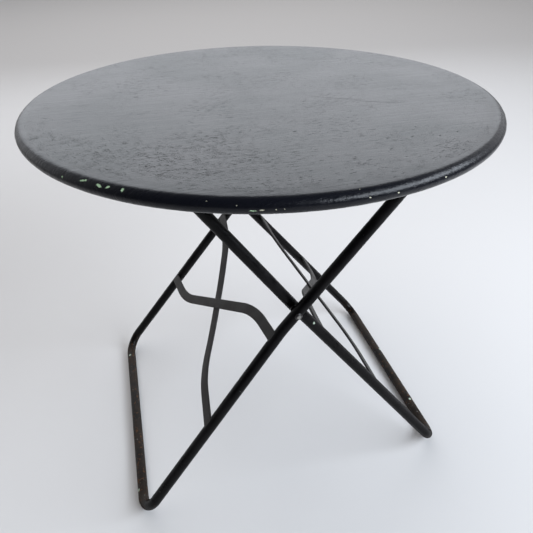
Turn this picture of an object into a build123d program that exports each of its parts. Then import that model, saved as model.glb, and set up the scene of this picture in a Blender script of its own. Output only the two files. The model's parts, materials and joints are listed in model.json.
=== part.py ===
from build123d import *
import os
from math import hypot

# Folding bistro table: a round wooden top on two crossed frames of bent steel tube.
# Millimetres, +Z up, origin on the floor under the centre of the top.
# X runs across the scissor and Y runs along its pivot axis; the front is -Y.

# Table top
TOP_R = 400
TOP_THICK = 24
TABLE_H = 720
UNDERSIDE_Z = TABLE_H - TOP_THICK

# Steel tube of both frames
TUBE_R = 10
TUBE_WALL = 1.5
CORNER_R = 40
KINK_R = 150

# Scissor pivot, on the Y axis direction through (0, PIVOT_Z)
PIVOT_Z = 416

# Outer frame: splayed legs up to a slight kink, then upright, parallel upper legs
OUTER_FOOT_X = -310
OUTER_FOOT_Y = 259
OUTER_KINK_X = -27
OUTER_KINK_Z = 383
OUTER_UPPER_Y = 227.5
HINGE_DEPTH = 22
OUTER_END = 12

# Inner frame: legs that draw together from floor to top
INNER_FOOT_X = 313
INNER_FOOT_Y = 245
INNER_PIVOT_Y = 203.5
BAR_Y = 170.5
INNER_RISE = 270
INNER_RUN = -199
CROSSBAR_DEPTH = 16
INNER_END = 9

# Flat steel braces in pairs that cross, let into notches in the outer faces of the tubes
BRACE_W = 20
BRACE_T = 4
BRACE_PAST_AXIS = 2
DIP_FLAT = 24
DIP_RAMP = 160

# Height of a pair's crossing, distance out to its bends, their radius, middle and end slopes
OUTER_BRACES = (348, 132, 200, 0.67, 0.15)
INNER_BRACES = (352, 116, 160, 0.76, 0.03)

# Gaps: paint film between fixed parts, and the running fit of a pin in its hole
FILM = 0.05
RUNNING = 0.075

# Rivets and pins: shank radius, head radius, head height
PIVOT_RIVET = (4, 7, 3.2)
HINGE_PIN = (3, 5, 2)
CROSSBAR = (5, 7, 2.4)
SPACER_R = 8
SPACER_T = 2.7
PIVOT_HEAD_GAP = 1.4
CROSSBAR_HEAD_GAP = 0.9

# Hinge brackets, catches and their screws
PLATE = 3
CHEEK_GAP = 0.6
CHEEK_R = 11
BRACKET_HALF = 38
BRACKET_SCREW_X = 29
CATCH_Y = 150
CATCH_PLATE = 4
CATCH_FRONT = 18
CATCH_BACK = 30
CATCH_DROP = 34
CATCH_FLANGE = 26
CATCH_SCREW_X = 13
SLOT_R = 5.3
SLOT_MOUTH_R = 6.4
SLOT_RUN = (19, -24)
SCREW = (2, 4, 2.4)
SCREW_LENGTH = 14
SCREW_SLOT = (0.9, 1)

SIDES = {"front": -1, "rear": 1}

# Derived places
HINGE_Z = UNDERSIDE_Z - HINGE_DEPTH
UPPER_SLOPE = -OUTER_KINK_X / (PIVOT_Z - OUTER_KINK_Z)
HINGE_X = (HINGE_Z - PIVOT_Z) * UPPER_SLOPE
BAR_Z = UNDERSIDE_Z - CROSSBAR_DEPTH
BAR_X = (BAR_Z - PIVOT_Z) * INNER_RUN / INNER_RISE
INNER_TAPER = (INNER_FOOT_Y - INNER_PIVOT_Y) / hypot(INNER_FOOT_X, PIVOT_Z - TUBE_R)
INNER_REACH = hypot(BAR_X, BAR_Z - PIVOT_Z)
INNER_UPPER_TAPER = (INNER_PIVOT_Y - BAR_Y) / INNER_REACH
BRACE_N = TUBE_R - BRACE_T + FILM


def frame_plane(foot, knee, outward):
    """Plane of a frame's lower legs: local x across, y up the legs, z out of the outer face."""
    up = Vector(knee[0] - foot[0], 0, knee[1] - foot[1]).normalized()
    normal = Vector(-up.Z * outward, 0, up.X * outward)
    return Plane(origin=(foot[0], 0, foot[1]), x_dir=up.cross(normal), z_dir=normal)


OUTER_PLANE = frame_plane((OUTER_FOOT_X, TUBE_R), (OUTER_KINK_X, OUTER_KINK_Z), 1)
INNER_PLANE = frame_plane((INNER_FOOT_X, TUBE_R), (0, PIVOT_Z), -1)


def outer_half_width(up):
    """Half the spacing of the outer frame's lower legs, at a distance up them from the floor bar."""
    length = hypot(OUTER_KINK_X - OUTER_FOOT_X, OUTER_KINK_Z - TUBE_R)
    return OUTER_FOOT_Y - (OUTER_FOOT_Y - OUTER_UPPER_Y) * up / length


def inner_half_width(up):
    """The same for the inner frame."""
    return INNER_FOOT_Y - INNER_TAPER * up


def dome(radius, height):
    """Spherical cap on z = 0, facing +Z."""
    sphere_r = (radius**2 + height**2) / (2 * height)
    cap = Pos(0, 0, height - sphere_r) * Sphere(sphere_r)
    return cap & (Pos(0, 0, height / 2) * Cylinder(radius + 1, height))


def rivet(size, low, high):
    """Rivet along Z with a domed head at each end of its shank."""
    shank_r, head_r, head_h = size
    shank = Pos(0, 0, (low + high) / 2) * Cylinder(shank_r, high - low)
    top = Pos(0, 0, high) * dome(head_r, head_h)
    bottom = Pos(0, 0, low) * Rot(180, 0, 0) * dome(head_r, head_h)
    return shank + top + bottom


def slotted_screw():
    """Round-head wood screw along Z: its head hangs below z = 0 and its shank goes up."""
    shank_r, head_r, head_h = SCREW
    slot_w, slot_d = SCREW_SLOT
    shank = Pos(0, 0, SCREW_LENGTH / 2) * Cylinder(shank_r, SCREW_LENGTH)
    head = Rot(180, 0, 0) * dome(head_r, head_h)
    slot = Pos(0, 0, slot_d / 2 - head_h) * Box(2 * head_r, slot_w, slot_d)
    return shank + head - slot


def across(x, y, z):
    """Placement whose +Z looks along +Y, for pins and holes that cross the table."""
    return Plane(origin=(x, y, z), x_dir=(1, 0, 0), z_dir=(0, 1, 0)).location


def outward(x, z, side):
    """Placement on the centre plane whose +Z looks to the front (-1) or to the rear (1)."""
    return Plane(origin=(x, 0, z), x_dir=(1, 0, 0), z_dir=(0, side, 0)).location


def bent_tube(points, radii):
    """Round tube swept along straight runs joined by bends."""
    path = FilletPolyline(*points, radius=radii)
    ring = Circle(TUBE_R) - Circle(TUBE_R - TUBE_WALL)
    return sweep(Plane(origin=path @ 0, z_dir=path % 0) * ring, path=path)


def brace_outline(braces, half_width, gap=0):
    """S-shaped bar in its frame's plane, high end on the +x side and ends cut along the tubes."""
    middle, corner, bend_r, slope, end_slope = braces
    reach = OUTER_FOOT_Y
    rise = corner * slope
    end_rise = rise + end_slope * (reach - corner)
    line = FilletPolyline(
        (-reach, middle - end_rise),
        (-corner, middle - rise),
        (corner, middle + rise),
        (reach, middle + end_rise),
        radius=bend_r,
    )
    bar = make_face(Wire(line.edges()).offset_2d(BRACE_W / 2 + gap))
    low = half_width(0) + BRACE_PAST_AXIS + gap
    high = half_width(2 * middle) + BRACE_PAST_AXIS + gap
    corners = [(-low, 0), (low, 0), (high, 2 * middle), (-high, 2 * middle)]
    return bar & make_face(Polyline(*corners, close=True))


def slab(outline, low, high):
    """Outline given a thickness between two distances off its frame's plane."""
    return Pos(0, 0, low) * extrude(outline, high - low, dir=(0, 0, 1))


def brace_notches(plane, braces, half_width):
    """Cuts across a frame's tubes that take the ends of its two braces."""
    notch = slab(brace_outline(braces, half_width, FILM), BRACE_N - FILM, 2 * TUBE_R)
    return plane * (notch + mirror(notch, about=Plane.YZ))


def outer_frame():
    """Wide frame: its upper ends carry the hinge pins of the top."""
    end_x = HINGE_X + OUTER_END * UPPER_SLOPE / hypot(1, UPPER_SLOPE)
    end_z = HINGE_Z + OUTER_END / hypot(1, UPPER_SLOPE)
    half = [
        (end_x, OUTER_UPPER_Y, end_z),
        (OUTER_KINK_X, OUTER_UPPER_Y, OUTER_KINK_Z),
        (OUTER_FOOT_X, OUTER_FOOT_Y, TUBE_R),
    ]
    other = [(x, -y, z) for x, y, z in reversed(half)]
    tube = bent_tube(half + other, [KINK_R, CORNER_R, CORNER_R, KINK_R])
    tube -= brace_notches(OUTER_PLANE, OUTER_BRACES, outer_half_width)
    for side in SIDES.values():
        tube -= across(0, side * OUTER_UPPER_Y, PIVOT_Z) * Cylinder(PIVOT_RIVET[0] + FILM, 4 * TUBE_R)
        tube -= across(HINGE_X, side * OUTER_UPPER_Y, HINGE_Z) * Cylinder(
            HINGE_PIN[0] + RUNNING, 4 * TUBE_R
        )
    return tube


def inner_frame():
    """Narrow frame: a crossbar joins its upper ends."""
    end = INNER_REACH + INNER_END
    end_y = INNER_PIVOT_Y - INNER_UPPER_TAPER * end
    rise = hypot(INNER_RUN, INNER_RISE)
    half = [
        (end * INNER_RUN / rise, end_y, PIVOT_Z + end * INNER_RISE / rise),
        (0, INNER_PIVOT_Y, PIVOT_Z),
        (INNER_FOOT_X, INNER_FOOT_Y, TUBE_R),
    ]
    other = [(x, -y, z) for x, y, z in reversed(half)]
    tube = bent_tube(half + other, [KINK_R, CORNER_R, CORNER_R, KINK_R])
    tube -= brace_notches(INNER_PLANE, INNER_BRACES, inner_half_width)
    for side in SIDES.values():
        tube -= across(0, side * INNER_PIVOT_Y, PIVOT_Z) * Cylinder(
            PIVOT_RIVET[0] + RUNNING, 4 * TUBE_R
        )
        tube -= across(BAR_X, side * BAR_Y, BAR_Z) * Cylinder(CROSSBAR[0] + FILM, 4 * TUBE_R)
    return tube


def over_brace(plane, braces, half_width):
    """Flat brace that passes outside its partner where they cross."""
    return plane * slab(brace_outline(braces, half_width), BRACE_N, BRACE_N + BRACE_T)


def under_brace(plane, braces, half_width):
    """Mirror-image brace, bowed in by its own thickness where the pair crosses."""
    reach = OUTER_FOOT_Y + BRACE_W
    step = BRACE_T + FILM
    lower = [
        (-reach, BRACE_N),
        (-DIP_RAMP, BRACE_N),
        (-DIP_FLAT, BRACE_N - step),
        (DIP_FLAT, BRACE_N - step),
        (DIP_RAMP, BRACE_N),
        (reach, BRACE_N),
    ]
    upper = [(x, z + BRACE_T) for x, z in reversed(lower)]
    side_view = make_face(Polyline(*lower, *upper, close=True))
    band = extrude(Plane.XZ * side_view, 2 * braces[0], both=True)
    block = slab(brace_outline(braces, half_width), BRACE_N - 2 * step, BRACE_N + BRACE_T)
    return plane * (mirror(block, about=Plane.YZ) & band)


def pivot_rivet(side):
    """Scissor rivet: tight in the outer frame, a running fit in the inner one."""
    low = INNER_PIVOT_Y - TUBE_R - PIVOT_HEAD_GAP
    high = OUTER_UPPER_Y + TUBE_R + FILM
    return outward(0, PIVOT_Z, side) * rivet(PIVOT_RIVET, low, high)


def pivot_spacer(side):
    """Washer that keeps the two frames apart at the pivot."""
    middle = OUTER_UPPER_Y - TUBE_R - FILM - SPACER_T / 2
    ring = Cylinder(SPACER_R, SPACER_T) - Cylinder(PIVOT_RIVET[0] + FILM, SPACER_T)
    return outward(0, PIVOT_Z, side) * Pos(0, 0, middle) * ring


def inner_crossbar():
    """Round bar through the inner frame's upper ends, peened over outside them."""
    reach = BAR_Y + TUBE_R + CROSSBAR_HEAD_GAP
    return across(BAR_X, 0, BAR_Z) * rivet(CROSSBAR, -reach, reach)


def hinge_bracket(side):
    """Clevis under the top: two cheeks that straddle an upper end of the outer frame."""
    inner_face = TUBE_R + CHEEK_GAP
    width = 2 * (inner_face + PLATE)
    base_z = UNDERSIDE_Z - PLATE / 2
    bracket = Pos(HINGE_X, 0, base_z) * Box(2 * BRACKET_HALF, width, PLATE)
    bracket = fillet(bracket.edges().filter_by(Axis.Z), width / 3)
    for edge in (-1, 1):
        y = edge * (inner_face + PLATE / 2)
        bracket += Pos(HINGE_X, y, (HINGE_Z + UNDERSIDE_Z) / 2) * Box(2 * CHEEK_R, PLATE, HINGE_DEPTH)
        bracket += across(HINGE_X, y, HINGE_Z) * Cylinder(CHEEK_R, PLATE)
        bracket -= Pos(HINGE_X + edge * BRACKET_SCREW_X, 0, base_z) * Cylinder(SCREW[0] + FILM, PLATE)
    bracket -= across(HINGE_X, 0, HINGE_Z) * Cylinder(HINGE_PIN[0] + FILM, width)
    return Pos(0, side * OUTER_UPPER_Y, 0) * bracket


def hinge_pin(side):
    """Pin through a bracket's cheeks and the tube end between them."""
    reach = TUBE_R + CHEEK_GAP + PLATE + FILM
    return across(HINGE_X, side * OUTER_UPPER_Y, HINGE_Z) * rivet(HINGE_PIN, -reach, reach)


def catch(side):
    """Angle plate under the top with a slanted slot that holds the crossbar."""
    run_x, run_z = SLOT_RUN
    plate = Polyline(
        (-CATCH_FRONT, 0),
        (CATCH_BACK, 0),
        (CATCH_BACK, -CATCH_DROP),
        (-CATCH_FRONT, -CATCH_DROP),
        close=True,
    )
    web = extrude(Plane.XZ * make_face(plate), CATCH_PLATE / 2, both=True)
    lower = web.edges().filter_by(Axis.Y).sort_by(Axis.Z)[:2]
    web = fillet(lower, CATCH_FRONT / 2)
    seat = Pos(0, -CROSSBAR_DEPTH) * Circle(SLOT_R)
    mouth = Pos(run_x, run_z - CROSSBAR_DEPTH) * Circle(SLOT_MOUTH_R)
    slot = make_hull(seat.edges() + mouth.edges())
    web -= extrude(Plane.XZ * slot, CATCH_PLATE, both=True)
    middle = (CATCH_BACK - CATCH_FRONT) / 2
    flange_y = CATCH_PLATE / 2 - CATCH_FLANGE / 2
    flange = Pos(middle, flange_y, -PLATE / 2) * Box(CATCH_FRONT + CATCH_BACK, CATCH_FLANGE, PLATE)
    outer_corners = flange.edges().filter_by(Axis.Z).sort_by(Axis.Y)[:2]
    plate = web + fillet(outer_corners, CATCH_PLATE)
    for step in (-1, 1):
        x = middle + step * CATCH_SCREW_X
        plate -= Pos(x, flange_y, -PLATE / 2) * Cylinder(SCREW[0] + FILM, PLATE)
    if side < 0:
        plate = mirror(plate, about=Plane.XZ)
    return Pos(BAR_X, side * CATCH_Y, UNDERSIDE_Z) * plate


def hinge_screw_places():
    """Centres of the bracket screws, on the underside."""
    return [
        (HINGE_X + step * BRACKET_SCREW_X, side * OUTER_UPPER_Y)
        for side in SIDES.values()
        for step in (-1, 1)
    ]


def catch_screw_places():
    """Centres of the catch screws, on the underside."""
    middle = BAR_X + (CATCH_BACK - CATCH_FRONT) / 2
    y = CATCH_Y + CATCH_PLATE / 2 - CATCH_FLANGE / 2
    return [
        (middle + step * CATCH_SCREW_X, side * y)
        for side in SIDES.values()
        for step in (-1, 1)
    ]


def screws(places):
    """A group of wood screws driven up into the top."""
    head_z = UNDERSIDE_Z - PLATE - FILM
    return Compound(children=[Pos(x, y, head_z) * slotted_screw() for x, y in places])


def table_top():
    """Round top with a half-round edge and pilot holes for its screws."""
    edge_r = TOP_THICK / 2
    rim_x = TOP_R - edge_r
    profile = make_face(
        [
            Line((0, 0), (rim_x, 0)),
            ThreePointArc((rim_x, 0), (TOP_R, edge_r), (rim_x, TOP_THICK)),
            Line((rim_x, TOP_THICK), (0, TOP_THICK)),
            Line((0, TOP_THICK), (0, 0)),
        ]
    )
    top = Pos(0, 0, UNDERSIDE_Z) * revolve(Plane.XZ * profile, Axis.Z)
    depth = SCREW_LENGTH - PLATE + FILM
    for x, y in hinge_screw_places() + catch_screw_places():
        top -= Pos(x, y, UNDERSIDE_Z + depth / 2) * Cylinder(SCREW[0] + FILM, depth)
    return top


def build():
    """Every node of the table, by name."""
    nodes = {
        "table_top": table_top(),
        "outer_frame": outer_frame(),
        "inner_frame": inner_frame(),
        "inner_crossbar": inner_crossbar(),
        "hinge_bracket_screws": screws(hinge_screw_places()),
        "catch_screws": screws(catch_screw_places()),
    }
    frames = {
        "outer": (OUTER_PLANE, OUTER_BRACES, outer_half_width),
        "inner": (INNER_PLANE, INNER_BRACES, inner_half_width),
    }
    for name, frame in frames.items():
        nodes[f"{name}_brace_over"] = over_brace(*frame)
        nodes[f"{name}_brace_under"] = under_brace(*frame)
    for name, side in SIDES.items():
        nodes[f"{name}_pivot_rivet"] = pivot_rivet(side)
        nodes[f"{name}_pivot_spacer"] = pivot_spacer(side)
        nodes[f"{name}_hinge_bracket"] = hinge_bracket(side)
        nodes[f"{name}_hinge_pin"] = hinge_pin(side)
        nodes[f"{name}_catch"] = catch(side)
    return nodes


os.makedirs("parts", exist_ok=True)
for node, shape in build().items():
    export_step(shape, f"parts/{node}.step")
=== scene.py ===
import json
import math
import random

import bmesh
import bpy
from mathutils import Matrix, Vector, noise
from mathutils.geometry import delaunay_2d_cdt

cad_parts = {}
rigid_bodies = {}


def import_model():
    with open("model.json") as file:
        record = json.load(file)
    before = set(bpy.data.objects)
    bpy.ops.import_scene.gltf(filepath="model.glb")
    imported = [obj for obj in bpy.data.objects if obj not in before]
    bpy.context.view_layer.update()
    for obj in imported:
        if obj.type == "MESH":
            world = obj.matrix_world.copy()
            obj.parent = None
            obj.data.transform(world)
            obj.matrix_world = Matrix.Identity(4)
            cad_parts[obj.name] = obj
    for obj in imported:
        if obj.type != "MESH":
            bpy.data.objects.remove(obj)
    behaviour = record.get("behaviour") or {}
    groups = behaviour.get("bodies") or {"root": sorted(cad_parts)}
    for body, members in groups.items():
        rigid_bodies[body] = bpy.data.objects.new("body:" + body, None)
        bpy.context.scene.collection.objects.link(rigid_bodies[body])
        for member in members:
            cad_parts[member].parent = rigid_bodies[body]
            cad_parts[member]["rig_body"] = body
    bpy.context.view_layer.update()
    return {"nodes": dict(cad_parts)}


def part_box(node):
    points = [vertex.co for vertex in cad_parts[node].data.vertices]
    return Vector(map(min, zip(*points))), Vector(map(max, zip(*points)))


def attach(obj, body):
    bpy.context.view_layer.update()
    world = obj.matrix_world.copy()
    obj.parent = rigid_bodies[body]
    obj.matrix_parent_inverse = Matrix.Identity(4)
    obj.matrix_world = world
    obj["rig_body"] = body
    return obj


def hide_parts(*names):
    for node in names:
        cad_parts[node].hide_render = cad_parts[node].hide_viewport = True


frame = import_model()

# Folding bistro table: metres, +Z up, origin on the floor under the centre of the top.
# X runs across the scissor and Y along its pivot axis; the front is -Y.
SIDES = {"front": -1, "rear": 1}

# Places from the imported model
TOP_LOW, TOP_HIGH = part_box("table_top")
TOP_R = TOP_HIGH.x
EDGE_R = (TOP_HIGH.z - TOP_LOW.z) / 2
FACE_R = TOP_R - EDGE_R
EDGE_Z = TOP_LOW.z + EDGE_R
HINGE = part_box("front_hinge_pin")
HINGE_X = (HINGE[0].x + HINGE[1].x) / 2
HINGE_Z = (HINGE[0].z + HINGE[1].z) / 2
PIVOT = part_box("front_pivot_rivet")
PIVOT_Z = (PIVOT[0].z + PIVOT[1].z) / 2
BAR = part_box("inner_crossbar")
BAR_X = (BAR[0].x + BAR[1].x) / 2
BAR_Z = (BAR[0].z + BAR[1].z) / 2

# Both frames
TUBE_R = 0.010
TUBE_WALL = 0.0015
CORNER_R = 0.040
KINK_R = 0.150
OUTER_FOOT = (-0.310, 0.259)
OUTER_KINK = (-0.027, 0.383)
OUTER_UPPER_Y = 0.2275
OUTER_END = 0.012
INNER_FOOT = (0.313, 0.245)
INNER_PIVOT_Y = 0.2035
INNER_BAR_Y = 0.1705
INNER_END = 0.009
INNER_TAPER = (INNER_FOOT[1] - INNER_PIVOT_Y) / math.hypot(INNER_FOOT[0], PIVOT_Z - TUBE_R)

# Braces: height of a pair's crossing, distance out to its bends, their radius, middle and end slopes
OUTER_BRACES = (0.348, 0.132, 0.200, 0.67, 0.15)
INNER_BRACES = (0.352, 0.116, 0.160, 0.76, 0.03)
BRACE_W = 0.020
BRACE_T = 0.004
BRACE_ROUND = 0.0008
BRACE_PAST_AXIS = 0.002
# Where the painted shade darkening a brace's edges starts and where it is full, in from its side
BRACE_EDGE_SHADE = (0.0022, 0.0004)
DIP_FLAT = 0.024
DIP_RAMP = 0.160
FILM = 0.00005
BRACE_N = TUBE_R - BRACE_T + FILM

# Rivets and pins: shank radius, head radius, head height
PIVOT_RIVET = (0.004, 0.007, 0.0032)
HINGE_PIN = (0.003, 0.005, 0.002)
CROSSBAR = (0.005, 0.007, 0.0024)
# Gap between the inner frame's tube and the pivot rivet's inner head
PIVOT_HEAD_GAP = 0.0014

# Fineness of the swept and turned meshes: step along a run, turn per step in bends, points round,
# steps over a rivet's head
PATH_STEP = 0.004
TUBE_TURN = math.radians(4)
BRACE_TURN = math.radians(1.2)
TUBE_SEGMENTS = 40
PIN_SEGMENTS = 32
DOME_STEPS = 9


# ---------------------------------------------------------------- shader helper


class Paint:
    """A material under construction: adds nodes and joins them."""

    def __init__(self, name):
        self.material = bpy.data.materials.new(name)
        self.material.use_nodes = True
        self.tree = self.material.node_tree
        self.shader = self.tree.nodes["Principled BSDF"]
        self.coords = self.node("ShaderNodeTexCoord").outputs["Object"]
        self.axes = self.node("ShaderNodeSeparateXYZ", {0: self.coords}).outputs

    def node(self, kind, inputs=None, **settings):
        made = self.tree.nodes.new(kind)
        for key, value in settings.items():
            setattr(made, key, value)
        for key, value in (inputs or {}).items():
            self.put(made.inputs[key], value)
        return made

    def put(self, socket, value):
        if isinstance(value, bpy.types.NodeSocket):
            self.tree.links.new(value, socket)
        else:
            socket.default_value = value

    def noise(self, scale, detail=3.0, roughness=0.55, vector=None):
        inputs = {"Vector": vector or self.coords, "Scale": scale, "Detail": detail, "Roughness": roughness}
        return self.node("ShaderNodeTexNoise", inputs).outputs[0]

    def stretched(self, scale_x, scale_y, scale_z):
        """Object coordinates scaled along each axis."""
        inputs = {0: self.coords, 1: (scale_x, scale_y, scale_z)}
        return self.node("ShaderNodeVectorMath", inputs, operation="MULTIPLY").outputs[0]

    def math(self, operation, a, b=0.0):
        return self.node("ShaderNodeMath", {0: a, 1: b}, operation=operation).outputs[0]

    def scaled(self, value, amount, start):
        """Start plus value times amount."""
        inputs = {0: value, 1: amount, 2: start}
        return self.node("ShaderNodeMath", inputs, operation="MULTIPLY_ADD").outputs[0]

    def heaped(self, total, parts):
        """Total plus several values, each times its own amount."""
        for value, amount in parts:
            total = self.math("ADD", total, self.math("MULTIPLY", value, amount))
        return total

    def rise(self, value, low, high, to_low=0.0, to_high=1.0):
        """Smooth step of value from low to high, rescaled."""
        inputs = {"Value": value, "From Min": low, "From Max": high, "To Min": to_low, "To Max": to_high}
        made = self.node("ShaderNodeMapRange", inputs, interpolation_type="SMOOTHSTEP")
        return made.outputs[0]

    def mix(self, factor, a, b):
        """Colour a where factor is 0, b where it is 1."""
        made = self.node("ShaderNodeMix", data_type="RGBA")
        self.put(made.inputs[0], factor)
        self.put(made.inputs[6], a)
        self.put(made.inputs[7], b)
        return made.outputs[2]

    def field(self, name):
        """A value stored on the mesh."""
        return self.node("ShaderNodeAttribute", attribute_name=name).outputs["Fac"]

    def near(self, place, radius, ragged):
        """1 within a ragged spot around a place, 0 outside it."""
        inputs = {0: self.coords, 1: place}
        away = self.node("ShaderNodeVectorMath", inputs, operation="DISTANCE").outputs["Value"]
        uneven = self.math("MULTIPLY", ragged, radius)
        away = self.math("ADD", away, uneven)
        return self.rise(away, radius * 1.35, radius * 1.1)

    def total(self, values):
        """Largest of several values."""
        result = values[0]
        for value in values[1:]:
            result = self.math("MAXIMUM", result, value)
        return result

    def edge_on(self, facing, grazing):
        """Value that falls from facing to grazing as the surface turns away."""
        weight = self.node("ShaderNodeLayerWeight", {"Blend": 0.5})
        return self.rise(weight.outputs["Facing"], 0.50, 0.90, facing, grazing)

    def finish(self, colour, roughness, height):
        """Joins the three to the shader. Height is in metres."""
        bump = self.node("ShaderNodeBump", {"Height": height, "Distance": 1.0, "Strength": 1.0})
        self.put(self.shader.inputs["Base Color"], colour)
        self.put(self.shader.inputs["Roughness"], roughness)
        self.put(self.shader.inputs["Normal"], bump.outputs[0])
        return self.material


def grey(value, blue=0.0):
    """Neutral colour with a little more blue."""
    return (value, value, value + blue, 1.0)


# ---------------------------------------------------------------- materials

MINT = (0.42, 0.60, 0.38, 1.0)
CREAM = (0.62, 0.60, 0.46, 1.0)
PALE = (0.55, 0.55, 0.52, 1.0)
# Painted shade: near-black colour laid into the cracks and dash grooves
CRACK_SHADE = (0.003, 0.003, 0.003, 1.0)


def table_layers(paint):
    """How strongly each feature of the top's paint shows at a place."""
    x, y, _ = paint.axes
    flat = paint.node("ShaderNodeCombineXYZ", {0: x, 1: y}).outputs[0]
    radius = paint.node("ShaderNodeVectorMath", {0: flat}, operation="LENGTH").outputs["Value"]
    safe_radius = paint.math("MAXIMUM", radius, 0.02)
    around = {
        0: paint.math("MULTIPLY", paint.math("DIVIDE", x, safe_radius), 23.0),
        1: paint.math("MULTIPLY", paint.math("DIVIDE", y, safe_radius), 23.0),
        2: paint.math("MULTIPLY", radius, 460.0),
    }
    rings = paint.node("ShaderNodeCombineXYZ", around).outputs[0]
    edge = paint.rise(radius, FACE_R - 0.009, FACE_R + 0.006)

    craze = paint.field("craze")
    crack_noise = paint.noise(1.0, 2.5, 0.6, rings)
    off_centre = paint.math("ABSOLUTE", paint.math("SUBTRACT", crack_noise, 0.5))
    broken = paint.rise(paint.noise(95.0, 2.0), 0.47, 0.60)
    where = paint.math("MULTIPLY", paint.rise(craze, 0.05, 0.9, 0.10, 1.0), broken)
    lines = paint.math("MULTIPLY", paint.rise(off_centre, 0.034, 0.0), where)

    dash_noise = paint.noise(1.0, 3.0, 0.6, paint.stretched(75.0, 380.0, 75.0))
    dash_area = paint.rise(paint.noise(16.0, 2.0), 0.42, 0.66, 0.12, 0.85)
    dashes = paint.math("MULTIPLY", paint.rise(dash_noise, 0.585, 0.64), dash_area)

    ragged = paint.math("MULTIPLY", paint.math("SUBTRACT", paint.noise(900.0, 2.0), 0.5), 0.9)
    ripple_size = paint.rise(craze, 0.0, 1.0, 0.00006, 0.00022)
    return {
        "edge": edge,
        "lines": lines,
        # Painted shade: how strongly the cracks and grooves are darkened
        "crack_shade": paint.math("MAXIMUM", paint.math("MULTIPLY", lines, 0.70), paint.field("check")),
        "dashes": paint.math("MULTIPLY", dashes, paint.math("SUBTRACT", 1.0, edge)),
        "patches": paint.noise(5.5, 3.0),
        "streaks": paint.noise(1.0, 5.0, 0.68, paint.stretched(9.0, 200.0, 9.0)),
        "ripple": paint.math("MULTIPLY", paint.noise(1.0, 3.0, 0.6, rings), ripple_size),
        "chip": paint.rise(paint.math("ADD", paint.field("chip"), ragged), 0.42, 0.58),
        "speck": paint.rise(paint.math("ADD", paint.field("speck"), ragged), 0.42, 0.58),
    }


def table_colour(paint, layers):
    """Black with paler brush streaks, painted shade round the edge and in the cracks, and older coats in
    the chips.
    """
    patchy = paint.rise(layers["patches"], 0.35, 0.68)
    streaky = paint.rise(layers["streaks"], 0.35, 0.75, 0.0, 0.5)
    base = paint.mix(patchy, grey(0.0125, 0.002), (0.024, 0.028, 0.029, 1.0))
    base = paint.mix(streaky, base, grey(0.036, 0.003))
    # Painted shade: the colour is darker round the half-round edge
    base = paint.mix(layers["edge"], base, (0.0045, 0.005, 0.008, 1.0))
    # Painted shade: the dash grooves and the cracks are darkened to near black
    base = paint.mix(paint.math("MULTIPLY", layers["dashes"], 0.7), base, CRACK_SHADE)
    base = paint.mix(layers["crack_shade"], base, CRACK_SHADE)
    base = paint.mix(layers["chip"], base, MINT)
    return paint.mix(layers["speck"], base, CREAM)


def table_roughness(paint, layers, bare):
    """Satin on the face, glossier round the edge, dull in the cracks and chips."""
    rough = paint.scaled(layers["streaks"], 0.16, 0.27)
    rough = paint.math("ADD", rough, paint.rise(layers["patches"], 0.35, 0.65, 0.0, 0.05))
    parts = [(layers["crack_shade"], 0.25), (layers["dashes"], 0.12), (layers["edge"], -0.10), (bare, 0.25)]
    return paint.heaped(rough, parts)


def table_height(paint, layers, bare):
    """Relief of the paint in metres."""
    lumps = paint.math("MULTIPLY", paint.noise(75.0, 2.5), layers["edge"])
    pimples = paint.math("MULTIPLY", paint.noise(240.0, 3.0, 0.6), layers["edge"])
    parts = [
        (layers["streaks"], 0.00034),
        (paint.noise(1.0, 2.0, 0.5, paint.stretched(35.0, 900.0, 35.0)), 0.000110),
        (paint.noise(330.0, 2.0), 0.000036),
        (layers["dashes"], -0.00028),
        (layers["ripple"], 1.0),
        (lumps, 0.00035),
        (pimples, 0.00042),
        (bare, -0.00012),
    ]
    return paint.heaped(paint.math("MULTIPLY", layers["lines"], -0.00022), parts)


def table_paint():
    """Brushed black paint on wood: crazed, satin on the face and glossier round the edge."""
    paint = Paint("painted_wood_black")
    layers = table_layers(paint)
    bare = paint.math("MAXIMUM", layers["chip"], layers["speck"])
    paint.put(paint.shader.inputs["Specular IOR Level"], paint.rise(layers["edge"], 0.0, 1.0, 0.52, 0.22))
    colour = table_colour(paint, layers)
    return paint.finish(colour, table_roughness(paint, layers, bare), table_height(paint, layers, bare))


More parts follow.
